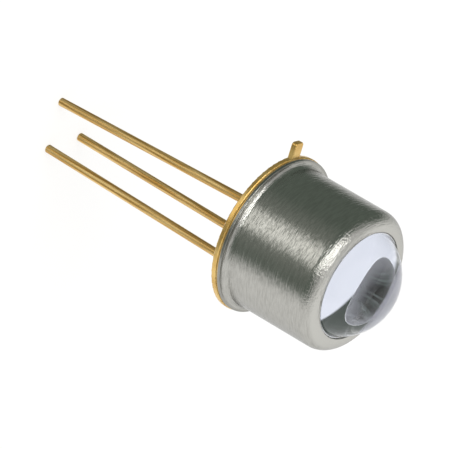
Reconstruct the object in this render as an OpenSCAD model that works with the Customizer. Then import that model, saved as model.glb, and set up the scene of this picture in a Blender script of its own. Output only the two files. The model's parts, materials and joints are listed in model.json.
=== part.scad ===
// Ultraviolet light-emitting diode in a three-lead metal can with a half-ball glass lens.
// The origin is the centre of the header's underside. +Z leaves through the lens, the leads hang to -Z.
// Leads one, two and three stand at 0, 90 and 180 degrees round Z, and the tab points to -45 degrees.

/* [Can] */
// Outside diameter of the can's straight wall
can_d = 8.3; // [7.6:0.05:9.4]
// Height of the can, from the underside of its foot to its front face
can_h = 6.14; // [5:0.02:7.5]
// Thickness of the sheet that the can is drawn from
can_wall = 0.18; // [0.12:0.01:0.3]
// Outside radius of the rounded shoulder between the wall and the front face
shoulder_r = 0.84; // [0.5:0.02:0.9]
// Radius of the outside fillet between the wall and the foot
foot_fillet = 0.34; // [0.2:0.02:0.5]
// Flat rim of the foot outside that fillet
foot_land = 0.06; // [0.05:0.01:0.15]
// Rounding of the foot's outer edge
foot_edge = 0.05; // [0.02:0.01:0.05]
// Rounding of the bend inside the can at its foot
foot_bend = 0.15; // [0.05:0.01:0.2]
// Rounding of the front hole's outer edge
lip_r = 0.08; // [0.04:0.01:0.12]

/* [Lens] */
// Room between the lens and the can's inner wall
lens_side_gap = 0.62; // [0.4:0.02:0.9]
// How far the lens reaches behind the edge of the front hole
lens_overlap = 0.2; // [0.1:0.01:0.35]
// Sealing glass between the lens and the inner edge of the front hole
lens_film = 0.035; // [0.03:0.005:0.08]
// Bevel round the lens's flat base
lens_bevel = 0.1; // [0.05:0.01:0.2]
// Height of the lens's equator band that the sealing glass leaves bare
seal_lift = 0.12; // [0.05:0.01:0.3]
// How far the sealing glass runs down the can's inner wall, past where it leaves the lens
seal_skirt = 0.78; // [0.5:0.02:1.2]
// Radius of the round roll in which it ends there
seal_roll = 0.08; // [0.05:0.01:0.12]
// How far the sealing glass climbs into the front hole
seal_rise = 0.08; // [0.04:0.01:0.1]

/* [Header] */
// Thickness of the header flange and of its tab
flange_t = 0.32; // [0.25:0.01:0.5]
// How far the header flange stands out past the can's foot
flange_lip = 0.05; // [0.02:0.01:0.15]
// Rounding of the header flange's edges
flange_edge = 0.07; // [0.03:0.01:0.1]
// Height of the weld ring that carries the can's foot
weld_h = 0.06; // [0.03:0.01:0.1]
// Radial width of the weld ring
weld_w = 0.2; // [0.1:0.01:0.24]
// Height of the platform above the flange
platform_h = 0.8; // [0.5:0.02:1.2]
// Room between the platform and the can's inner wall
platform_gap = 0.2; // [0.1:0.02:0.4]
// Rounding of the platform's upper edge
platform_edge = 0.12; // [0.05:0.01:0.2]
// Width of the index tab
tab_w = 0.72; // [0.66:0.02:0.9]
// Length of the index tab outside the flange
tab_l = 0.92; // [0.7:0.02:1.15]
// Rounding of the tab's outer corners
tab_r = 0.2; // [0.1:0.02:0.32]

/* [Leads] */
// Diameter of a lead
lead_d = 0.48; // [0.41:0.01:0.55]
// Diameter of the circle that the leads stand on
lead_circle_d = 5.08; // [4.6:0.02:5.6]
// Length of the leads below the header
lead_l = 14.2; // [8:0.1:20]
// Height of the two insulated leads above the platform
post_h = 0.45; // [0.25:0.05:1]
// Depth of the header's socket for the case lead
socket_depth = 0.4; // [0.25:0.02:0.7]
// Countersink round that socket, which takes the brazing metal
socket_mouth = 0.12; // [0.08:0.01:0.18]
// Bevel at the leads' ends
lead_bevel = 0.05; // [0.02:0.01:0.1]
// Straight stretch of a lead between the header and its bend
bend_drop = 0.4; // [0.2:0.05:1]
// Radius of that bend, on the lead's centre line
bend_r = 1.5; // [0.5:0.1:3]
// Lean of leads one, two and three towards the package's axis, in degrees
lead_lean = [2.5, 1.3, 3.1];
// Sideways lean of leads one, two and three, counter-clockwise seen from the lens, in degrees
lead_swing = [1.0, 0.6, -0.5];
// Wall of the glass bead round an insulated lead
bead_wall = 0.4; // [0.25:0.02:0.5]
// How far a bead stays back from the header's faces
bead_recess = 0.08; // [0.02:0.01:0.1]

/* [Chip] */
// Side of the square ceramic submount
submount_w = 1.6; // [1.2:0.05:2.2]
// Thickness of the submount
submount_t = 0.4; // [0.2:0.02:0.6]
// Thickness of the solder under the submount
solder_t = 0.04; // [0.02:0.01:0.08]
// Thickness of the submount's two metal pads
pad_t = 0.02; // [0.01:0.005:0.05]
// Bare ceramic round the pads
pad_margin = 0.08; // [0.04:0.01:0.15]
// Bare ceramic between the two pads
pad_split = 0.14; // [0.08:0.01:0.2]
// Side of the square chip
die_w = 0.62; // [0.4:0.02:0.8]
// Thickness of the chip
die_t = 0.3; // [0.1:0.02:0.45]
// Bevel at the chip's upper edges
die_bevel = 0.04; // [0.02:0.01:0.08]
// Diameter of a bump under the chip
bump_d = 0.12; // [0.08:0.01:0.16]
// Height of a bump under the chip
bump_h = 0.05; // [0.03:0.01:0.08]
// Distance of a bump's centre from the chip's edges
bump_inset = 0.13; // [0.09:0.01:0.17]

/* [Bond wires] */
// Diameter of a bond wire
wire_d = 0.05; // [0.03:0.005:0.08]
// Height of the wire's loop above its ends
wire_loop = 0.42; // [0.2:0.02:0.8]
// Diameter of the ball at each end of a wire
wire_ball_d = 0.13; // [0.09:0.01:0.18]
// Distance of a wire's bond from the pad's two outer edges
wire_inset = 0.2; // [0.1:0.02:0.3]

/* [Hidden] */
$fn = 96;
// Hairline that keeps round faces of glass and metal apart
fit_gap = 0.01;
// Depth by which a cut runs past the face that it opens
cut = 1;
// Number of sides of a bond wire, and of steps along it
wire_sides = 10;
wire_steps = 28;
// Share of a bond wire's length over which its end ball tapers
ball_share = 0.05;

lead_angles = [0, 90, 180];
tab_angle = -45;
lead_r = lead_d / 2;
lead_circle_r = lead_circle_d / 2;

// Can and lens, from the outside inwards
can_r = can_d / 2;
can_bore_r = can_r - can_wall;
lens_r = can_bore_r - lens_side_gap;
hole_r = lens_r - lens_overlap;
shoulder = min(shoulder_r, can_r - hole_r - lip_r);
foot_r = can_r + foot_fillet + foot_land;
flange_r = foot_r + flange_lip;

// Heights above the header's underside
foot_z = flange_t + weld_h;
foot_top_z = foot_z + can_wall;
front_z = foot_z + can_h;
platform_z = flange_t + platform_h;
post_z = platform_z + post_h;
submount_z = platform_z + solder_t;
pad_z = submount_z + submount_t;
bump_z = pad_z + pad_t;
die_z = bump_z + bump_h;

// The lens's equator lies where its dome leaves room for the sealing glass inside the front hole
lens_z = front_z - can_wall - sqrt(pow(lens_r, 2) - pow(hole_r - lens_film, 2));
seal_z = lens_z + seal_lift;

platform_r = can_bore_r - platform_gap;
weld_r = foot_r - foot_land - weld_w;
bead_r = lead_r + fit_gap + bead_wall;
bump_at = die_w / 2 - bump_inset;
pad_half = submount_w / 2 - pad_margin;
wire_pad_r = (pad_half - wire_inset) * sqrt(2);

// A half section that turns into a disc of radius r and thickness t with rounded edges
module disc_section(r, t, edge) {
    square([r - edge, t]);
    translate([0, edge]) square([r, t - 2 * edge]);
    for (z = [edge, t - edge]) translate([r - edge, z]) circle(r = edge);
}

// A half section that turns into a drum of radius r with a rounded upper edge
module drum_section(r, z0, z1, edge) {
    translate([0, z0]) square([r - edge, z1 - z0]);
    translate([0, z0]) square([r, z1 - z0 - edge]);
    translate([r - edge, z1 - edge]) circle(r = edge);
}

// The corner that a convex rounding of radius r takes off, with its sharp point at the origin
module corner_section(r) {
    difference() {
        square(r);
        translate([r, r]) circle(r = r);
    }
}

// Puts what follows on the lead circle, with local -X towards the package's axis
module at_lead(pin) {
    rotate([0, 0, lead_angles[pin]]) translate([lead_circle_r, 0, 0]) children();
}

// A hole from below for a pin of radius r, up to a depth, with the hairline round it
module hole(r, depth) {
    translate([0, 0, -cut]) cylinder(r = r + fit_gap, h = cut + depth);
}

// A countersink from below round such a hole, as deep as it is wide
module countersink(r, depth) {
    translate([0, 0, -cut]) cylinder(r1 = r + fit_gap + depth + cut, r2 = r + fit_gap, h = cut + depth);
}

module header() {
    color("#c9a047") difference() {
        union() {
            rotate_extrude() disc_section(flange_r, flange_t, flange_edge);
            rotate_extrude() drum_section(platform_r, flange_t / 2, platform_z, platform_edge);
            rotate_extrude() translate([weld_r, flange_t / 2]) square([weld_w, flange_t / 2 + weld_h]);
            rotate([0, 0, tab_angle]) tab();
        }
        for (pin = [0, 1]) at_lead(pin) hole(bead_r, platform_z + cut);
        at_lead(2) {
            hole(lead_r, socket_depth);
            countersink(lead_r, socket_mouth);
        }
    }
}

// The index tab along X: a bar out of the flange with two round corners and the flange's rounded edges
module tab() {
    root_x = flange_r - 2 * flange_edge;
    corner_x = flange_r + tab_l - tab_r;
    corner_y = tab_w / 2 - tab_r;
    translate([root_x, 0, 0]) rotate([90, 0, 90]) linear_extrude(corner_x - root_x)
        for (side = [0, 1]) mirror([side, 0]) disc_section(tab_w / 2, flange_t, flange_edge);
    translate([corner_x, corner_y, 0]) rotate([90, 0, 0]) linear_extrude(2 * corner_y)
        disc_section(tab_r, flange_t, flange_edge);
    for (side = [0, 1]) mirror([0, side, 0]) translate([corner_x, corner_y, 0])
        rotate_extrude(angle = 90) disc_section(tab_r, flange_t, flange_edge);
}

// A glass bead that holds one lead in the header
module bead(pin) {
    color("#3d4a4c") at_lead(pin) difference() {
        translate([0, 0, bead_recess]) cylinder(r = bead_r, h = platform_z - 2 * bead_recess);
        hole(lead_r, platform_z + cut);
    }
}

module anode_bead() { bead(0); }

module cathode_bead() { bead(1); }

// A bevelled end for a lead, its small face at the origin and the lead above it
module lead_end() {
    cylinder(r1 = lead_r - lead_bevel, r2 = lead_r, h = lead_bevel);
}

// A round lead: straight through the header up to top_z, one slight bend below it, then straight to its tip
module lead(pin, top_z) {
    lean = [-tan(lead_lean[pin]), tan(lead_swing[pin])];
    bend = atan(norm(lean));
    straight = (lead_l - bend_drop - bend_r * sin(bend)) / cos(bend);
    color("#cda552") at_lead(pin) {
        translate([0, 0, -bend_drop]) cylinder(r = lead_r, h = bend_drop + top_z - lead_bevel);
        translate([0, 0, top_z]) mirror([0, 0, 1]) lead_end();
        rotate([0, 0, atan2(lean[1], lean[0])]) translate([bend_r, 0, -bend_drop]) {
            rotate([-90, 0, 180]) rotate_extrude(angle = bend) translate([bend_r, 0]) circle(r = lead_r);
            rotate([0, -bend, 0]) translate([-bend_r, 0, -straight]) {
                translate([0, 0, lead_bevel]) cylinder(r = lead_r, h = straight - lead_bevel);
                lead_end();
            }
        }
    }
}

module anode_lead() { lead(0, post_z); }

module cathode_lead() { lead(1, post_z); }

module case_lead() { lead(2, socket_depth); }

// Brazing metal that fills the countersink round the case lead
module case_braze() {
    inner = lead_r + fit_gap;
    width = socket_mouth - 2 * fit_gap;
    color("#c9a047") at_lead(2) translate([0, 0, fit_gap]) rotate_extrude()
        polygon([[inner, 0], [inner + width, 0], [inner, width]]);
}

// A square plate of the chip stack, turned so that its sides face the tab
module plate(side, z, t) {
    rotate([0, 0, tab_angle]) translate([-side / 2, -side / 2, z]) cube([side, side, t]);
}

module submount_solder() { color("#8f8d86") plate(submount_w, platform_z, solder_t); }

module submount() { color("#d8d5cc") plate(submount_w, submount_z, submount_t); }

// One half of the submount's metal: side 1 lies towards the tab, side -1 away from it
module pad(side) {
    color("#d9b25c") rotate([0, 0, tab_angle])
        translate([side > 0 ? pad_split / 2 : -pad_half, -pad_half, pad_z])
            cube([pad_half - pad_split / 2, 2 * pad_half, pad_t]);
}

module anode_pad() { pad(1); }

module cathode_pad() { pad(-1); }

module die_bumps() {
    color("#d9b25c") rotate([0, 0, tab_angle])
        for (x = [-1, 1], y = [-1, 1])
            translate([x * bump_at, y * bump_at, bump_z]) cylinder(d = bump_d, h = bump_h);
}

// The chip lies face down on its bumps, with its bevelled clear back upwards
module led_die() {
    color("#aebfc9") intersection() {
        plate(die_w, die_z, die_t);
        intersection_for (turn = [0, 90]) rotate([90, 0, tab_angle + turn]) die_bevel_prism();
    }
}

// A prism along the chip with its two upper edges bevelled
module die_bevel_prism() {
    half = die_w / 2;
    top = die_z + die_t;
    linear_extrude(2 * die_w, center = true)
        polygon([[-half, die_z], [half, die_z], [half, top - die_bevel], [half - die_bevel, top],
            [die_bevel - half, top], [-half, top - die_bevel]]);
}

// Centre line of a bond wire at share s: it leaves the pad and meets the post upright
function wire_point(s) =
    let (across = (1 - cos(180 * s)) / 2)
    [wire_pad_r + (lead_circle_r - wire_pad_r) * across, 0,
        bump_z + (post_z - bump_z) * across + wire_loop * sin(180 * s)];

// Slope of that line, as a direction in the wire's upright plane
function wire_slope(s) =
    let (run = (lead_circle_r - wire_pad_r) * sin(180 * s) / 2,
        rise = (post_z - bump_z) * sin(180 * s) / 2 + wire_loop * cos(180 * s))
    [run, rise] / norm([run, rise]);

// Radius of the wire, which swells to a ball at both ends
function wire_radius(s) =
    let (end = max(0, 1 - min(s, 1 - s) / ball_share))
    (wire_d + (wire_ball_d - wire_d) * sqrt(end)) / 2;

// Ring of points round the wire's centre line
function wire_ring(s) =
    let (p = wire_point(s), d = wire_slope(s), r = wire_radius(s))
    [for (k = [0 : wire_sides - 1])
        let (a = 360 * k / wire_sides)
        p + r * [cos(a) * d[1], sin(a), -cos(a) * d[0]]];

// Steps along the wire, closer together at its ends
function wire_share(i) = (1 - cos(180 * i / wire_steps)) / 2;

// A bond wire from a pad to the top of a lead
module wire(pin) {
    points = [for (i = [0 : wire_steps]) each wire_ring(wire_share(i))];
    sides = [for (i = [0 : wire_steps - 1], k = [0 : wire_sides - 1])
        let (n = (k + 1) % wire_sides, a = i * wire_sides, b = a + wire_sides)
        [a + k, b + k, b + n, a + n]];
    first = [for (k = [0 : wire_sides - 1]) k];
    last = [for (k = [wire_sides - 1 : -1 : 0]) wire_steps * wire_sides + k];
    color("#e0bb60") rotate([0, 0, lead_angles[pin]])
        polyhedron(points, concat(sides, [first, last]), convexity = 4);
}

module anode_wire() { wire(0); }

module cathode_wire() { wire(1); }

// The drawn can: a drum less its bore and front hole, with a filleted foot to weld on
module cap() {
    color("#9b9d99") rotate_extrude() difference() {
        union() {
            drum_section(can_r, foot_z, front_z, shoulder);
            translate([0, foot_z]) disc_section(foot_r, can_wall, foot_edge);
            translate([can_r, foot_top_z]) corner_section(foot_fillet);
        }
        drum_section(can_bore_r, foot_z - cut, front_z - can_wall, shoulder - can_wall);
        translate([0, foot_z]) square([hole_r, can_h + cut]);
        translate([hole_r, front_z]) mirror([0, 1]) corner_section(lip_r);
        translate([can_bore_r, foot_z]) corner_section(foot_bend);
    }
}

// Sealing glass between the lens's shoulder and the can, and up into the hole beside the lens.
// Its free surface is a hollow arc from the lens down to the can's wall, where it ends in a round roll.
module lens_seal() {
    outer_r = can_bore_r - fit_gap;
    inner_r = sqrt(pow(lens_r + fit_gap, 2) - pow(seal_lift, 2));
    skirt_r = outer_r - 2 * seal_roll;
    skirt_z = seal_z - seal_skirt;
    hollow_r = (pow(skirt_r - inner_r, 2) + pow(seal_skirt, 2)) / (2 * (skirt_r - inner_r));
    top = front_z - can_wall;
    color("#7d8486") rotate_extrude() {
        difference() {
            union() {
                drum_section(outer_r, skirt_z, top, shoulder - can_wall);
                translate([0, seal_z]) square([hole_r - fit_gap, top + seal_rise - seal_z]);
            }
            translate([0, lens_z]) circle(r = lens_r + fit_gap);
            translate([0, skirt_z]) square([inner_r, seal_skirt]);
            translate([skirt_r - hollow_r, skirt_z]) circle(r = hollow_r);
        }
        translate([outer_r - seal_roll, skirt_z]) circle(r = seal_roll);
    }
}

// A half ball with its flat base towards the chip
module lens() {
    color("#dfe7ee") translate([0, 0, lens_z]) rotate_extrude() intersection() {
        circle(r = lens_r);
        polygon([[0, 0], [lens_r - lens_bevel, 0], [lens_r, lens_bevel], [lens_r, lens_r], [0, lens_r]]);
    }
}

header();
anode_bead();
cathode_bead();
anode_lead();
cathode_lead();
case_lead();
case_braze();
submount_solder();
submount();
anode_pad();
cathode_pad();
die_bumps();
led_die();
anode_wire();
cathode_wire();
cap();
lens_seal();
lens();
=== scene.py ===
"""Looks of an ultraviolet light-emitting diode in a three-lead metal can with a half-ball glass lens.

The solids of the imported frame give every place. The can, its lens and sealing glass, the leads and the glass
beads are turned or swept again here as fine surfaces in their solids' place, so that metal and glass reflect
without facets. Lengths are in millimetres until a surface is put into its mesh.
"""
import json
import math

import bpy
import numpy as np
from mathutils import Matrix, Vector


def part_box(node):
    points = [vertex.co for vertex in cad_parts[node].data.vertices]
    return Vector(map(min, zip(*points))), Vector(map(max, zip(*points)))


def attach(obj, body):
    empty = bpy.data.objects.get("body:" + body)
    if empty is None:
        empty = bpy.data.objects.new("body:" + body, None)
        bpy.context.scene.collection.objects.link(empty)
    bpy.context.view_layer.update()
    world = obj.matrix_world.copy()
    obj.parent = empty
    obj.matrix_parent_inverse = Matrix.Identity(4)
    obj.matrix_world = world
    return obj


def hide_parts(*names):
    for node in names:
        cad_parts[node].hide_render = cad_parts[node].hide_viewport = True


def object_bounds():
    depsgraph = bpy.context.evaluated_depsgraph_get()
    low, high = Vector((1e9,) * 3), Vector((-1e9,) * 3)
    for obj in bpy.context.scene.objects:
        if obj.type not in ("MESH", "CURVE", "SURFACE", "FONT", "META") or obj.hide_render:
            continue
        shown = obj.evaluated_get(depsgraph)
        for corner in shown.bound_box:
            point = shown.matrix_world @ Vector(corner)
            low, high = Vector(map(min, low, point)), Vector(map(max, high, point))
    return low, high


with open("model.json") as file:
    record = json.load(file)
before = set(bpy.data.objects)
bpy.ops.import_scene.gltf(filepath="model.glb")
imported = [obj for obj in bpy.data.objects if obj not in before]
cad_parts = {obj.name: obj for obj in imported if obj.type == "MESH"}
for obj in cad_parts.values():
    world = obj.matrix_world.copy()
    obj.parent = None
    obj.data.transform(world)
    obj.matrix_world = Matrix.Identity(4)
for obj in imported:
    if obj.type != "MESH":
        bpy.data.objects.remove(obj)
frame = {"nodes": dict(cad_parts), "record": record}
cad_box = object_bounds()

MM = 0.001
BODY = "root"

# Sizes in millimetres and angles in degrees, as in the solids
can_wall = 0.18
shoulder_r = 0.84
foot_fillet = 0.34
foot_edge = 0.05
foot_bend = 0.15
lip_r = 0.08
lens_side_gap = 0.62
lens_overlap = 0.2
lens_film = 0.035
lens_bevel = 0.1
seal_lift = 0.12
seal_skirt = 0.78
seal_roll = 0.08
seal_rise = 0.08
bead_wall = 0.4
fit_gap = 0.01
lead_r = 0.24
lead_bevel = 0.05
lead_circle_r = 2.54
bend_drop = 0.4
bend_r = 1.5
lead_angle = {"anode_lead": 0.0, "cathode_lead": 90.0, "case_lead": 180.0}
lead_lean = {"anode_lead": 2.5, "cathode_lead": 1.3, "case_lead": 3.1}
lead_swing = {"anode_lead": 1.0, "cathode_lead": 0.6, "case_lead": -0.5}
bead_lead = {"anode_bead": "anode_lead", "cathode_bead": "cathode_lead"}

# How far the glass of a bead sinks between its lead and the header
bead_sag = 0.07

# Faces that meet at more than this many degrees keep a sharp edge
sharp_edge = 40

# Heights and radii that the frame gives
mounts = {mount["name"]: mount for mount in frame["record"]["mounts"]}
can_r = mounts["barrel"]["dims"]["r_mm"]
cap_low, cap_high = (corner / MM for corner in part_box("cap"))
foot_r, foot_z, front_z = cap_high.x, cap_low.z, cap_high.z

can_bore_r = can_r - can_wall
lens_r = can_bore_r - lens_side_gap
hole_r = lens_r - lens_overlap
foot_top_z = foot_z + can_wall
lens_z = front_z - can_wall - math.sqrt(lens_r ** 2 - (hole_r - lens_film) ** 2)
seal_top_z = front_z - can_wall + seal_rise


# Surfaces

def arc(centre, radius, start, end, steps):
    """Points on a circle in the section plane, from start to end in degrees: centre plus radius times
    (cos, sin)."""
    angle = np.radians(np.linspace(start, end, steps))
    return np.stack([centre[0] + radius * np.cos(angle), centre[1] + radius * np.sin(angle)], axis=1)


def section(*stretches, spacing=0.06):
    """Joins stretches of points into one section. Each straight run from a point to the next is cut into
    equal steps no longer than a spacing: the run's start plus its span times the step over the cuts."""
    points = np.concatenate([np.atleast_2d(np.asarray(stretch, float)) for stretch in stretches])
    spans = np.diff(points, axis=0)
    cuts = np.maximum(1, np.ceil(np.linalg.norm(spans, axis=1) / spacing)).astype(int)
    run = np.repeat(np.arange(len(spans)), cuts)
    step = np.arange(cuts.sum()) - np.repeat(np.cumsum(cuts) - cuts, cuts)
    steps = points[run] + spans[run] * step[:, None] / cuts[run, None]
    return np.concatenate([steps, points[-1:]])


def put_piece(name, points, faces, material, slot, replaced):
    """Puts points in millimetres and faces of three or four corners into a smooth mesh that rides on the
    body."""
    mesh = bpy.data.meshes.new(name)
    mesh.from_pydata((points * MM).tolist(), [], faces)
    mesh.polygons.foreach_set("use_smooth", np.ones(len(mesh.polygons), bool))
    mesh.set_sharp_from_angle(angle=math.radians(sharp_edge))
    mesh.update()
    piece = bpy.data.objects.new(name, mesh)
    bpy.context.scene.collection.objects.link(piece)
    mesh.materials.append(material)
    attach(piece, BODY)
    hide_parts(replaced)


def ring_faces(rings, steps, closed):
    """Faces between rings of equal steps. Where the row of rings is closed, its last joins its first.
    Otherwise two single points that follow the rings close both ends."""
    spoke = np.arange(steps)
    after = (spoke + 1) % steps
    row = np.arange(rings if closed else rings - 1)[:, None]
    here, there = row * steps, (row + 1) % rings * steps
    corners = [here + spoke, here + after, there + after, there + spoke]
    faces = np.stack(corners, axis=-1).reshape(-1, 4).tolist()
    if not closed:
        top, first = (rings - 1) * steps, rings * steps
        faces += np.stack([np.full(steps, first), after, spoke], axis=-1).tolist()
        faces += np.stack([top + spoke, top + after, np.full(steps, first + 1)], axis=-1).tolist()
    return faces


def turn(profile, steps, closed):
    """Turns a profile of (radius, height) points round the Z axis in equal steps and returns points and
    faces. A closed profile joins its end to its start. An open one starts and ends on the axis, where its
    rings shrink to single points."""
    angle = np.arange(steps) * 2 * np.pi / steps
    ring = np.stack([np.cos(angle), np.sin(angle), np.zeros(steps)], axis=1)
    body = profile if closed else profile[1:-1]
    points = (body[:, None, :1] * ring + np.array([0, 0, 1.0]) * body[:, None, 1:]).reshape(-1, 3)
    if not closed:
        points = np.concatenate([points, [[0, 0, profile[0, 1]], [0, 0, profile[-1, 1]]]])
    return points, ring_faces(len(body), steps, closed)


def sweep(path, radius, sides):
    """Carries a circle along a path of points: each ring lies square to the path's slope, with its own
    radius, and both ends close to a single point."""
    slope = np.gradient(path, axis=0)
    slope /= np.linalg.norm(slope, axis=1, keepdims=True)
    across = np.cross(slope, [0.0, 1.0, 0.0])
    across /= np.linalg.norm(across, axis=1, keepdims=True)
    other = np.cross(slope, across)
    angle = np.arange(sides) * 2 * np.pi / sides
    circle = np.cos(angle)[None, :, None] * across[:, None] + np.sin(angle)[None, :, None] * other[:, None]
    rings = path[:, None] + radius[:, None, None] * circle
    points = np.concatenate([rings.reshape(-1, 3), path[:1], path[-1:]])
    return points, ring_faces(len(path), sides, closed=False)


def at_lead(name, points):
    """Places points that were made round the Z axis, X pointing outwards, on the lead circle at a lead's
    angle."""
    angle = math.radians(lead_angle[name])
    cosine, sine = math.cos(angle), math.sin(angle)
    spin = np.array([[cosine, sine, 0], [-sine, cosine, 0], [0, 0, 1]])
    return (points + [lead_circle_r, 0, 0]) @ spin


def can_section():
    """The drawn sheet's section: foot, outside fillet, wall, shoulder, rolled lip, and back down the
    inside."""
    inner_shoulder = shoulder_r - can_wall
    return section(
        arc((foot_r - foot_edge, foot_z + foot_edge), foot_edge, -90, 0, steps=8),
        arc((foot_r - foot_edge, foot_top_z - foot_edge), foot_edge, 0, 90, steps=8),
        arc((can_r + foot_fillet, foot_top_z + foot_fillet), foot_fillet, 270, 180, steps=20),
        arc((can_r - shoulder_r, front_z - shoulder_r), shoulder_r, 0, 90, steps=36),
        arc((hole_r + lip_r, front_z - lip_r), lip_r, 90, 180, steps=10),
        (hole_r, front_z - can_wall),
        arc((can_r - shoulder_r, front_z - shoulder_r), inner_shoulder, 90, 0, steps=24),
        arc((can_bore_r + foot_bend, foot_z + foot_bend), foot_bend, 180, 270, steps=8),
    )


def lens_section():
    """Section of the lens: flat base with a small bevel, then the ball's arc up to the axis."""
    edge = math.degrees(math.asin(lens_bevel / lens_r))
    return section(
        (0, lens_z),
        (lens_r - lens_bevel, lens_z),
        arc((0, lens_z), lens_r, edge, 90, steps=160),
    )


def seal_section():
    """Section of the sealing glass: along the dome, up into the hole, under the can's front, down the wall
    to a round roll, and from there back up to the lens on a hollow arc."""
    top = front_z - can_wall
    outer = can_bore_r - fit_gap
    inner_shoulder = shoulder_r - can_wall
    ball = lens_r + fit_gap
    start = math.degrees(math.asin(seal_lift / ball))
    rise = math.degrees(math.asin((seal_top_z - lens_z) / ball))
    skirt_z = lens_z + seal_lift - seal_skirt
    skirt_r = outer - 2 * seal_roll
    width = skirt_r - math.sqrt(ball ** 2 - seal_lift ** 2)
    hollow_r = (width ** 2 + seal_skirt ** 2) / (2 * width)
    hollow_end = math.degrees(math.atan2(seal_skirt, hollow_r - width))
    return section(
        arc((0, lens_z), ball, start, rise, steps=60),
        (hole_r - fit_gap, seal_top_z),
        (hole_r - fit_gap, top),
        arc((outer - inner_shoulder, top - inner_shoulder), inner_shoulder, 90, 0, steps=16),
        arc((outer - seal_roll, skirt_z), seal_roll, 0, -180, steps=16),
        arc((skirt_r - hollow_r, skirt_z), hollow_r, 0, hollow_end, steps=24)[1:-1],
    )


def bead_section(name):
    """Section of a glass bead round its lead: upright sides, and at both ends a hollow arc between lead and
    header, where the molten glass drew back."""
    low, high = (corner.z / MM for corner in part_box(name))
    inner = lead_r + fit_gap
    middle = inner + bead_wall / 2
    sag_r = ((bead_wall / 2) ** 2 + bead_sag ** 2) / (2 * bead_sag)
    half = math.degrees(math.asin(bead_wall / 2 / sag_r))
    below = arc((middle, low + bead_sag - sag_r), sag_r, 90 + half, 90 - half, steps=17)
    above = arc((middle, high - bead_sag + sag_r), sag_r, 270 + half, 270 - half, steps=17)
    return section(below, above)


def lead_path(name):
    """Centre line of a lead from its tip up: straight, one slight bend, then upright to its top. Near both
    ends the rings shrink on a quarter ellipse, which rounds the cut end. Returns points and radii."""
    end_steps, straight_steps, bend_steps, post_steps = 8, 90, 12, 14
    lean = np.array([-math.tan(math.radians(lead_lean[name])), math.tan(math.radians(lead_swing[name]))])
    bend = math.atan(np.linalg.norm(lean))
    heading = lean / np.linalg.norm(lean)
    bend_end = np.array([bend_r * (1 - math.cos(bend)), -bend_drop - bend_r * math.sin(bend)])
    low_z, top_z = (corner.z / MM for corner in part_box(name))
    tip_z = low_z + (lead_r - lead_bevel) * math.sin(bend)
    straight = (bend_end[1] - tip_z) / math.cos(bend)
    share = np.linspace(0, 1, end_steps)
    tip = straight - lead_bevel * share
    along = np.concatenate([tip, np.linspace(straight - 2 * lead_r, 0, straight_steps)])
    lower = bend_end + along[:, None] * np.array([math.sin(bend), -math.cos(bend)])
    angle = np.linspace(bend, 0, bend_steps)[1:]
    curve = np.stack([bend_r * (1 - np.cos(angle)), -bend_drop - bend_r * np.sin(angle)], axis=1)
    post = np.linspace(-bend_drop, top_z - lead_r, post_steps)[1:]
    heights = np.concatenate([post, top_z - lead_bevel * share[::-1]])
    upper = np.stack([np.zeros(len(heights)), heights], axis=1)
    plane = np.concatenate([lower, curve, upper])
    rounding = np.sqrt(1 - (1 - share) ** 2) - 1
    radius = np.full(len(plane), lead_r)
    radius[:end_steps] += lead_bevel * rounding
    radius[-end_steps:] += lead_bevel * rounding[::-1]
    return np.stack([plane[:, 0] * heading[0], plane[:, 0] * heading[1], plane[:, 1]], axis=1), radius


# Materials

# Options for easing a value and for mixing two colours, and the sockets that such a mix uses
SMOOTH = {"interpolation_type": "SMOOTHSTEP"}
COLOURS = {"data_type": "RGBA"}
SHARE, FIRST, SECOND, RESULT = 0, 6, 7, 2

# Values between which most of a cloudy pattern lies
CLOUD_RANGE = {"From Min": 0.3, "From Max": 0.7}


def colour(code):
    """Linear RGBA of an sRGB hex colour, by the sRGB curve."""
    srgb = np.array([int(code[start:start + 2], 16) for start in (1, 3, 5)]) / 255
    linear = np.where(srgb <= 0.04045, srgb / 12.92, ((srgb + 0.055) / 1.055) ** 2.4)
    return (*linear.tolist(), 1.0)


def add_node(tree, kind, sockets=(), **settings):
    """Adds a node, sets its options, and sets or links its sockets."""
    node = tree.nodes.new(kind)
    for key, value in settings.items():
        setattr(node, key, value)
    for key, value in dict(sockets).items():
        if isinstance(value, bpy.types.NodeSocket):
            tree.links.new(value, node.inputs[key])
        else:
            node.inputs[key].default_value = value
    return node


def new_material(name):
    """An empty node material, with its tree and the Object coordinates that its patterns read."""
    material = bpy.data.materials.new(name)
    material.use_nodes = True
    tree = material.node_tree
    tree.nodes.clear()
    return material, tree, add_node(tree, "ShaderNodeTexCoord").outputs["Object"]


def places(origin, start, end):
    """Limits of an easing, in metres, at a start and an end that lie some millimetres from an origin."""
    return {"From Min": (origin + start) * MM, "From Max": (origin + end) * MM}


def clouds(tree, place, sizes, detail):
    """Cloudy pattern from 0 to 1 with features of these sizes in millimetres along X, Y and Z."""
    scales = tuple(1 / (size * MM) for size in sizes)
    spread = add_node(tree, "ShaderNodeMapping", {"Vector": place, "Scale": scales}).outputs[0]
    return add_node(tree, "ShaderNodeTexNoise", {
        "Vector": spread, "Scale": 1.0, "Detail": detail}).outputs[0]


def graded(tree, value, limits, first, second):
    """Colour that eases from a first to a second one while a value goes from one limit to the other."""
    share = add_node(tree, "ShaderNodeMapRange", {"Value": value, **limits}, **SMOOTH).outputs[0]
    return add_node(tree, "ShaderNodeMix", {
        SHARE: share, FIRST: first, SECOND: second}, **COLOURS).outputs[RESULT]


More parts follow.
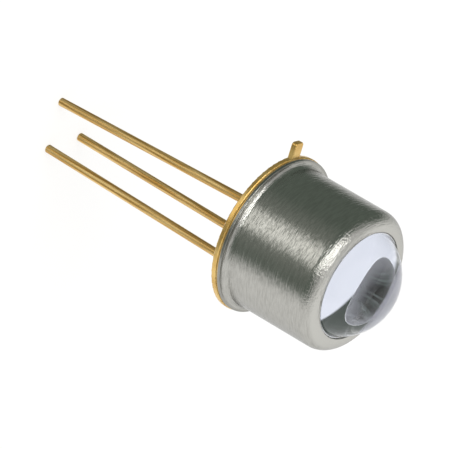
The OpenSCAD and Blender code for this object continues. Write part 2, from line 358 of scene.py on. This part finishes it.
def burnished_nickel():
    """Nickel plate on drawn steel, burnished in a lathe: neutral grey with a trace of warmth. Fine strokes run
    round the can and comb its highlights. The stretched shoulder shows the sheet's grain as a crinkled skin,
    and the foot is rougher and a darker grey. From the shoulder to the hole the tone is a little lighter:
    painted light. The can's inside is painted white and matt: painted light that stands in for the bright
    reflections of the lights seen through the lens."""
    # Strokes of 0.6 mm, 0.1 mm apart: coarser than real burnishing marks, so that they show
    stroke_size, stroke_depth = (0.6, 0.6, 0.1), 0.03
    stroke_range = {"From Min": 0.25, "From Max": 0.75}
    grain_size, grain_depth = (0.11, 0.11, 0.11), 0.022
    dull_spot = (0.4, 0.4, 0.4)
    dull_roughness, burnished_roughness = 0.28, 0.2
    # Places along the skin, whose measure is height less radius: it grows steadily from the foot's edge up
    # the wall and over the shoulder to the hole
    wall_start = foot_top_z + foot_fillet - can_r
    wall_end = front_z - shoulder_r - can_r
    hole_edge = front_z - hole_r
    burnish_starts = places(wall_start, -0.7, -0.5)
    grain_starts = places(wall_end, -0.2, 0.7)
    grain_ends = places(hole_edge, -0.8, -0.2)
    painted_front_light_starts = places(wall_end, 0.6, 1.2)

    material, tree, place = new_material("burnished_nickel_plate")
    axes = add_node(tree, "ShaderNodeSeparateXYZ", {0: place}).outputs
    flat = add_node(tree, "ShaderNodeCombineXYZ", {0: axes[0], 1: axes[1]}).outputs[0]
    radius = add_node(tree, "ShaderNodeVectorMath", {0: flat}, operation="LENGTH").outputs["Value"]
    along = add_node(tree, "ShaderNodeMath", {0: axes[2], 1: radius}, operation="SUBTRACT").outputs[0]
    skin = add_node(tree, "ShaderNodeCombineXYZ", {0: axes[0], 1: axes[1], 2: along}).outputs[0]

    strokes = clouds(tree, skin, stroke_size, detail=2.0)
    combed = add_node(tree, "ShaderNodeBump", {
        "Height": strokes, "Distance": stroke_depth * MM}).outputs[0]
    begun = add_node(tree, "ShaderNodeMapRange", {"Value": along, **grain_starts}, **SMOOTH).outputs[0]
    left = add_node(tree, "ShaderNodeMapRange", {
        "Value": along, **grain_ends, "To Min": 1.0, "To Max": 0.0}, **SMOOTH).outputs[0]
    stretched = add_node(tree, "ShaderNodeMath", {0: begun, 1: left}, operation="MULTIPLY").outputs[0]
    grain = clouds(tree, place, grain_size, detail=1.0)
    crinkled = add_node(tree, "ShaderNodeBump", {
        "Height": grain, "Distance": grain_depth * MM, "Strength": stretched, "Normal": combed}).outputs[0]

    burnished_tone_with_painted_light = graded(tree, strokes, stroke_range, colour("#afaea8"), colour("#bebdb7"))
    # Painted light: from the shoulder to the hole the tone is a little lighter
    burnished_tone_with_painted_light = graded(tree, along, painted_front_light_starts, burnished_tone_with_painted_light, colour("#c6c5bf"))
    spots = clouds(tree, place, dull_spot, detail=2.0)
    dull = add_node(tree, "ShaderNodeMix", {
        SHARE: spots, FIRST: colour("#96958f"), SECOND: colour("#aaa9a3")}, **COLOURS).outputs[RESULT]
    burnished = add_node(tree, "ShaderNodeMapRange", {
        "Value": along, **burnish_starts}, **SMOOTH).outputs[0]
    outside_tone = add_node(tree, "ShaderNodeMix", {
        SHARE: burnished, FIRST: dull, SECOND: burnished_tone_with_painted_light}, **COLOURS).outputs[RESULT]
    within = add_node(tree, "ShaderNodeMath", {
        0: radius, 1: (can_r - can_wall / 2) * MM}, operation="LESS_THAN").outputs[0]
    below_front = add_node(tree, "ShaderNodeMath", {
        0: axes[2], 1: (front_z - shoulder_r) * MM}, operation="LESS_THAN").outputs[0]
    inside = add_node(tree, "ShaderNodeMath", {0: within, 1: below_front}, operation="MULTIPLY").outputs[0]
    # Painted light: the can's inside is white and matt, standing in for the bright reflections of the lights
    # seen through the lens
    painted_inside_light = add_node(tree, "ShaderNodeMix", {
        SHARE: strokes, FIRST: colour("#f4f5fb"), SECOND: colour("#fdfdff")}, **COLOURS).outputs[RESULT]
    tone = add_node(tree, "ShaderNodeMix", {
        SHARE: inside, FIRST: outside_tone, SECOND: painted_inside_light}, **COLOURS).outputs[RESULT]
    metallic = add_node(tree, "ShaderNodeMapRange", {
        "Value": inside, "To Min": 1.0, "To Max": 0.0}, **SMOOTH).outputs[0]
    roughness = add_node(tree, "ShaderNodeMapRange", {
        "Value": burnished, "To Min": dull_roughness, "To Max": burnished_roughness}, **SMOOTH).outputs[0]
    shader = add_node(tree, "ShaderNodeBsdfPrincipled", {
        "Base Color": tone, "Normal": crinkled, "Metallic": metallic, "Roughness": roughness,
        "Specular Tint": colour("#dedede")})
    add_node(tree, "ShaderNodeOutputMaterial", {"Surface": shader.outputs[0]})
    return material


def gold_plate(name, dark, light, roughness, blotch, grit, bare_above=None):
    """Electroplated gold: warm yellow metal. Blotches of tone and a fine grit, both sizes in millimetres
    along X, Y and Z, give it the satin of plated stock. Above a height in millimetres the metal may be bare
    nickel."""
    grit_depth = 0.004
    roughness_waver = 0.06
    material, tree, place = new_material(name)
    blotches = clouds(tree, place, blotch, detail=3.0)
    tone = graded(tree, blotches, CLOUD_RANGE, colour(dark), colour(light))
    if bare_above is not None:
        height = add_node(tree, "ShaderNodeSeparateXYZ", {0: place}).outputs[2]
        bare = add_node(tree, "ShaderNodeMath", {
            0: height, 1: bare_above * MM}, operation="GREATER_THAN").outputs[0]
        tone = add_node(tree, "ShaderNodeMix", {
            SHARE: bare, FIRST: tone, SECOND: colour("#dcdcd8")}, **COLOURS).outputs[RESULT]
    satin = add_node(tree, "ShaderNodeBump", {
        "Height": clouds(tree, place, grit, detail=1.0), "Distance": grit_depth * MM}).outputs[0]
    wavering = add_node(tree, "ShaderNodeMapRange", {
        "Value": blotches, **CLOUD_RANGE,
        "To Min": roughness - roughness_waver, "To Max": roughness + roughness_waver}, **SMOOTH).outputs[0]
    shader = add_node(tree, "ShaderNodeBsdfPrincipled", {
        "Base Color": tone, "Metallic": 0.85, "Normal": satin, "Roughness": wavering})
    add_node(tree, "ShaderNodeOutputMaterial", {"Surface": shader.outputs[0]})
    return material


def lens_glass():
    """Polished optical glass with a coat against reflections: clear, with a faint bluish cast that
    wavers."""
    cast_size = (1.2, 1.2, 1.2)
    material, tree, place = new_material("coated_optical_glass")
    waver = clouds(tree, place, cast_size, detail=1.0)
    cast = add_node(tree, "ShaderNodeMix", {
        SHARE: waver, FIRST: colour("#f7f9fd"), SECOND: colour("#fdfdff")}, **COLOURS).outputs[RESULT]
    shader = add_node(tree, "ShaderNodeBsdfPrincipled", {
        "Base Color": cast, "Roughness": 0.0, "IOR": 1.58, "Transmission Weight": 1.0})
    add_node(tree, "ShaderNodeOutputMaterial", {"Surface": shader.outputs[0]})
    return material


def solder_glass():
    """Solder glass that melted between lens and can: dark green-grey with pale flow streaks that run down it.
    Where it was drawn up into the hole it is painted light grey, a painted glow of the light that enters the
    glass there, and the skirt that runs down the can's inner wall is painted nearly white, painted light that
    stands in for the bright reflections of the lights seen through the lens."""
    # Streaks 0.05 mm wide that run down the dome, which shows them enlarged
    streak_size = (0.05, 0.05, 0.4)
    streak_range = {"From Min": 0.48, "From Max": 0.64}
    painted_rise_light_starts = places(seal_top_z, -0.16, -0.02)
    painted_skirt_light_ends = places(lens_z, 0.1, 0.3)
    glass_roughness, streak_roughness = 0.2, 0.35
    # How far light spreads in the glass, in millimetres
    glow_depth = 0.012

    material, tree, place = new_material("grey_solder_glass")
    axes = add_node(tree, "ShaderNodeSeparateXYZ", {0: place}).outputs
    height = axes[2]
    flat = add_node(tree, "ShaderNodeCombineXYZ", {0: axes[0], 1: axes[1]}).outputs[0]
    outwards = add_node(tree, "ShaderNodeVectorMath", {0: flat}, operation="NORMALIZE").outputs[0]
    rim = add_node(tree, "ShaderNodeVectorMath", {
        0: outwards, "Scale": lens_r * MM}, operation="SCALE").outputs[0]
    rim_axes = add_node(tree, "ShaderNodeSeparateXYZ", {0: rim}).outputs
    run = add_node(tree, "ShaderNodeCombineXYZ", {0: rim_axes[0], 1: rim_axes[1], 2: height}).outputs[0]
    flow = add_node(tree, "ShaderNodeMapRange", {
        "Value": clouds(tree, run, streak_size, detail=2.0), **streak_range}, **SMOOTH).outputs[0]
    tone = add_node(tree, "ShaderNodeMix", {
        SHARE: flow, FIRST: colour("#0b130f"), SECOND: colour("#97a69e")}, **COLOURS).outputs[RESULT]
    # Painted light: the skirt is nearly white, standing in for the bright reflections of the lights seen
    # through the lens
    tone = graded(tree, height, painted_skirt_light_ends, colour("#e9eaf2"), tone)
    # Painted light: the glass drawn up into the hole is light grey towards its top, a painted glow where light
    # enters it
    tone = graded(tree, height, painted_rise_light_starts, tone, colour("#d2d3d4"))
    roughness = add_node(tree, "ShaderNodeMapRange", {
        "Value": flow, "To Min": glass_roughness, "To Max": streak_roughness}, **SMOOTH).outputs[0]
    shader = add_node(tree, "ShaderNodeBsdfPrincipled", {
        "Base Color": tone, "Roughness": roughness, "Subsurface Weight": 1.0,
        "Subsurface Radius": (1.0, 1.0, 1.0), "Subsurface Scale": glow_depth * MM})
    add_node(tree, "ShaderNodeOutputMaterial", {"Surface": shader.outputs[0]})
    return material


def mottled(name, dark, light, spot, relief, roughness, **surface):
    """A finish whose tone wavers between two colours in spots of a size in millimetres. The spots stand up
    as a relief in millimetres and take the roughness from its first value to its second."""
    material, tree, place = new_material(name)
    spots = add_node(tree, "ShaderNodeMapRange", {
        "Value": clouds(tree, place, (spot, spot, spot), detail=3.0), **CLOUD_RANGE}, **SMOOTH).outputs[0]
    bump = add_node(tree, "ShaderNodeBump", {"Height": spots, "Distance": relief * MM}).outputs[0]
    tone = add_node(tree, "ShaderNodeMix", {
        SHARE: spots, FIRST: colour(dark), SECOND: colour(light)}, **COLOURS).outputs[RESULT]
    wavering = add_node(tree, "ShaderNodeMapRange", {
        "Value": spots, "To Min": roughness[0], "To Max": roughness[1]}, **SMOOTH).outputs[0]
    shader = add_node(tree, "ShaderNodeBsdfPrincipled", {
        "Base Color": tone, "Normal": bump, "Roughness": wavering, **surface})
    add_node(tree, "ShaderNodeOutputMaterial", {"Surface": shader.outputs[0]})
    return material


nickel = burnished_nickel()
# The header's satin is fine. Its platform, inside the can, is left in bright nickel.
header_gold = gold_plate(
    "gold_plated_header", "#d0a75c", "#eecb82", roughness=0.3,
    blotch=(0.9, 0.9, 0.9), grit=(0.07, 0.07, 0.07), bare_above=0.7)
# Drawn wire: blotches and grit run along the leads, and the plate is softer to the eye
lead_gold = gold_plate(
    "gold_plated_lead", "#bd8f45", "#f4d390", roughness=0.42,
    blotch=(0.14, 0.14, 7.0), grit=(0.06, 0.06, 1.2))
# Bond wires, bumps and pads: soft gold, pale yellow with small blotches
wire_gold = gold_plate(
    "bond_wire_gold", "#d3af68", "#ecd08c", roughness=0.3,
    blotch=(0.3, 0.3, 0.3), grit=(0.08, 0.08, 0.08))
clear_glass = lens_glass()
seal_glass = solder_glass()
# Dark pressed glass: a glossy skin with clouds of fine bubbles
bead_glass = mottled(
    "dark_bead_glass", "#1f2628", "#3c484b", spot=0.16, relief=0.004, roughness=(0.08, 0.2), IOR=1.52)
# Sintered aluminium nitride: matt and pale, with the grain of its powder drawn coarser so that it shows
nitride = mottled("nitride_ceramic", "#c9c5bb", "#dedbd2", spot=0.06, relief=0.002, roughness=(0.5, 0.7))
# Solder that set in air: dull grey metal with a wavy skin
solder = mottled(
    "dull_solder", "#94928a", "#b4b2aa", spot=0.2, relief=0.01, roughness=(0.3, 0.5), Metallic=1.0)
# Sawn sapphire: a cold pale stone whose faces keep the saw's fine marks
sapphire = mottled(
    "sawn_sapphire", "#8aa0b2", "#a9bccb", spot=0.05, relief=0.001, roughness=(0.1, 0.25), IOR=1.77)

can_form = turn(can_section(), steps=256, closed=True)
put_piece("drawn_can", *can_form, nickel, "nickel_can", "cap")
lens_form = turn(lens_section(), steps=256, closed=False)
put_piece("half_ball_lens", *lens_form, clear_glass, "lens_glass", "lens")
seal_form = turn(seal_section(), steps=192, closed=True)
put_piece("sealing_glass", *seal_form, seal_glass, "seal_glass", "lens_seal")
for name in lead_lean:
    path, radius = lead_path(name)
    points, faces = sweep(path, radius, sides=40)
    put_piece(name + "_wire", at_lead(name, points), faces, lead_gold, "gold_plated_lead", name)
for name, lead in bead_lead.items():
    points, faces = turn(bead_section(name), steps=64, closed=True)
    put_piece(name + "_glass", at_lead(lead, points), faces, bead_glass, "bead_glass", name)

finishes = {
    "header": header_gold, "case_braze": header_gold, "submount_solder": solder, "submount": nitride,
    "anode_pad": wire_gold, "cathode_pad": wire_gold, "die_bumps": wire_gold, "led_die": sapphire,
    "anode_wire": wire_gold, "cathode_wire": wire_gold,
}
for name, material in finishes.items():
    frame["nodes"][name].data.materials.clear()
    frame["nodes"][name].data.materials.append(material)
# The burnished wall shows no image of the header's tab
frame["nodes"]["header"].visible_glossy = False

# Camera: it looks at the aim point from an azimuth round Z and an elevation, and is rolled about its own
# axis. Angles are in degrees and lengths in millimetres.
VIEW_AZIMUTH, VIEW_ELEVATION, VIEW_ROLL = 19.480, 29.505, 120.521
VIEW_DISTANCE = 322.447
VIEW_AIM = Vector((0.741, 1.140, -1.906))
VIEW_WIDTH = 24.13
SENSOR = 36.0
# Nearest and farthest that it sees, in metres
CLIP_NEAR, CLIP_FAR = 0.01, 10

azimuth, elevation, roll = (math.radians(angle) for angle in (VIEW_AZIMUTH, VIEW_ELEVATION, VIEW_ROLL))
back = Vector((math.cos(elevation) * math.cos(azimuth), math.cos(elevation) * math.sin(azimuth),
               math.sin(elevation)))
level = Vector((-math.sin(azimuth), math.cos(azimuth), 0))
right = math.cos(roll) * level + math.sin(roll) * back.cross(level)
above = back.cross(right)
camera = bpy.data.objects.new("camera", bpy.data.cameras.new("camera"))
camera.data.sensor_width = SENSOR
camera.data.lens = SENSOR * VIEW_DISTANCE / VIEW_WIDTH
camera.data.clip_start, camera.data.clip_end = CLIP_NEAR, CLIP_FAR
camera.matrix_world = Matrix.Translation((VIEW_AIM + back * VIEW_DISTANCE) * MM) @ Matrix(
    (right, above, back)).transposed().to_4x4()
bpy.context.scene.collection.objects.link(camera)
bpy.context.scene.camera = camera


def seen(x, y, z):
    """Direction in the frame of a direction in the camera's axes: right, up and back."""
    return (right * x + above * y + back * z).normalized()


# Surroundings: a dim room with white paper below and beyond the part, a grey card ahead of the lens, and a
# glow up to the left on the camera's side. Colours are linear.
PAPER_BELOW = seen(0, -0.766, -0.643)
PAPER_BEYOND = seen(-0.299, -0.013, -0.954)
AHEAD = Vector((0, 0, 1))
GLOW_WAY = seen(-0.691, 0.513, 0.512)
DIM_ROOM = (0.15, 0.18, 0.155, 1)
DARK_ROOM = (0.035, 0.05, 0.04, 1)
GLOW = (1.5, 1.5, 1.46, 1)
HALO = (0.27, 0.29, 0.265, 1)
CARD = (0.62, 0.62, 0.62, 1)
WHITE = (1, 1, 1, 1)
LILAC_PAPER = (0.84, 0.87, 0.95, 1)
LIGHT_THROUGH_LENS = (1.9, 1.92, 2.0, 1)
# Cosines of the angle to its direction at which each of them begins and is full
HALO_EDGE = (0.6, 0.97)
GLOW_EDGE = (0.93, 0.999)
BELOW_EDGE = (-0.06, 0.42)
CARD_EDGE = (0.45, 0.75)
LENS_BELOW_EDGE = (0.42, 0.55)
LENS_BEYOND_EDGE = (-0.01, 0.03)

world = bpy.data.worlds.new("studio")
bpy.context.scene.world = world
world.use_nodes = True
sky = world.node_tree
sky.nodes.clear()
way = add_node(sky, "ShaderNodeTexCoord").outputs["Generated"]
ray = add_node(sky, "ShaderNodeLightPath").outputs


def facing(direction, low, high):
    """Share of the surroundings near a direction, eased between two cosines of the angle to it."""
    cosine = add_node(sky, "ShaderNodeVectorMath", {
        0: way, 1: tuple(direction)}, operation="DOT_PRODUCT").outputs["Value"]
    return add_node(sky, "ShaderNodeMapRange", {
        "Value": cosine, "From Min": low, "From Max": high}, **SMOOTH).outputs[0]


# What metal mirrors, laid over the dim room one after the other
metal_sees = DIM_ROOM
for direction, edge, tone, blend in (
        (GLOW_WAY, HALO_EDGE, HALO, "MIX"),
        (PAPER_BELOW, BELOW_EDGE, WHITE, "MIX"),
        (AHEAD, CARD_EDGE, CARD, "LIGHTEN"),
        (GLOW_WAY, GLOW_EDGE, GLOW, "MIX")):
    metal_sees = add_node(sky, "ShaderNodeMix", {
        SHARE: facing(direction, *edge), FIRST: metal_sees, SECOND: tone,
    }, **COLOURS, blend_type=blend).outputs[RESULT]
# What shows through the lens
lens_paper = add_node(sky, "ShaderNodeMath", {
    0: facing(PAPER_BEYOND, *LENS_BEYOND_EDGE), 1: facing(PAPER_BELOW, *LENS_BELOW_EDGE),
}, operation="MAXIMUM").outputs[0]
lens_sees = add_node(sky, "ShaderNodeMix", {
    SHARE: lens_paper, FIRST: DARK_ROOM, SECOND: LILAC_PAPER}, **COLOURS).outputs[RESULT]
studio = add_node(sky, "ShaderNodeMix", {
    SHARE: ray["Is Transmission Ray"], FIRST: metal_sees, SECOND: lens_sees}, **COLOURS).outputs[RESULT]
plain_light = add_node(sky, "ShaderNodeMath", {
    0: ray["Is Camera Ray"], 1: ray["Diffuse Depth"]}, operation="ADD", use_clamp=True).outputs[0]
# The light inside the can comes in through the lens from the softboxes, which are stronger than the paper
inside_can = add_node(sky, "ShaderNodeMath", {
    0: ray["Diffuse Depth"], 1: ray["Transmission Depth"],
}, operation="MULTIPLY", use_clamp=True).outputs[0]
soft_light = add_node(sky, "ShaderNodeMix", {
    SHARE: inside_can, FIRST: WHITE, SECOND: LIGHT_THROUGH_LENS}, **COLOURS).outputs[RESULT]
surroundings = add_node(sky, "ShaderNodeMix", {
    SHARE: plain_light, FIRST: studio, SECOND: soft_light}, **COLOURS).outputs[RESULT]
backdrop = add_node(sky, "ShaderNodeBackground", {"Color": surroundings})
add_node(sky, "ShaderNodeOutputWorld", {"Surface": backdrop.outputs[0]})

# Distance of the softboxes from the part's origin, in millimetres
SOFTBOX_DISTANCE = 500


def softbox(name, direction, along, length, width, radiance):
    """A soft elliptic light, length by width in millimetres, that faces the part from a direction and is
    long along another, with the radiance that a mirror shows of it: its power is pi times radiance times
    the ellipse's area. It leaves the lens out, whose coat swallows such reflections."""
    data = bpy.data.lights.new(name, "AREA")
    data.shape = "ELLIPSE"
    data.size, data.size_y = length * MM, width * MM
    data.energy = radiance * math.pi * math.pi / 4 * data.size * data.size_y
    light = bpy.data.objects.new(name, data)
    along = (along - direction * along.dot(direction)).normalized()
    turned = Matrix((along, direction.cross(along), direction)).transposed().to_4x4()
    light.matrix_world = Matrix.Translation(direction * SOFTBOX_DISTANCE * MM) @ turned
    bpy.context.scene.collection.objects.link(light)
    left_out = bpy.data.collections.new(name + "_leaves_out")
    left_out.objects.link(bpy.data.objects["half_ball_lens"])
    light.light_linking.receiver_collection = left_out
    for item in left_out.collection_objects:
        item.light_linking.link_state = "EXCLUDE"


softbox("camera_softbox", direction=seen(0.187, 0.122, 0.975), along=seen(0.899, 0.38, -0.22),
        length=600, width=165, radiance=3.4)
softbox("side_softbox", direction=seen(0.67, -0.094, 0.736), along=seen(0.452, 0.838, -0.305),
        length=380, width=130, radiance=3.0)

# Floor: white paper that mostly glows by itself, so that its edge melts into the backdrop, and still takes
# a shadow. Its underside is clear, so that the leads and the header show from below. Lengths are in metres.
FLOOR_REACH = 0.6
FLOOR_GLOW = 0.7
floor_z = cad_box[0].z
floor_mesh = bpy.data.meshes.new("floor")
corners = [(x * FLOOR_REACH, y * FLOOR_REACH, floor_z) for x, y in ((-1, -1), (1, -1), (1, 1), (-1, 1))]
floor_mesh.from_pydata(corners, [], [(0, 1, 2, 3)])
floor = bpy.data.objects.new("floor", floor_mesh)
bpy.context.scene.collection.objects.link(floor)
floor_paper, paper_tree = new_material("white_paper")[:2]
glow = add_node(paper_tree, "ShaderNodeEmission", {"Color": WHITE}).outputs[0]
matt = add_node(paper_tree, "ShaderNodeBsdfDiffuse", {"Color": colour("#f4f4f2")}).outputs[0]
mixed = add_node(paper_tree, "ShaderNodeMixShader", {0: FLOOR_GLOW, 1: matt, 2: glow}).outputs[0]
underside = add_node(paper_tree, "ShaderNodeNewGeometry").outputs["Backfacing"]
clear = add_node(paper_tree, "ShaderNodeBsdfTransparent").outputs[0]
one_sided = add_node(paper_tree, "ShaderNodeMixShader", {0: underside, 1: mixed, 2: clear}).outputs[0]
add_node(paper_tree, "ShaderNodeOutputMaterial", {"Surface": one_sided})
floor_mesh.materials.append(floor_paper)
floor.visible_glossy = False
floor.visible_transmission = False

bpy.context.scene.view_settings.view_transform = "Standard"
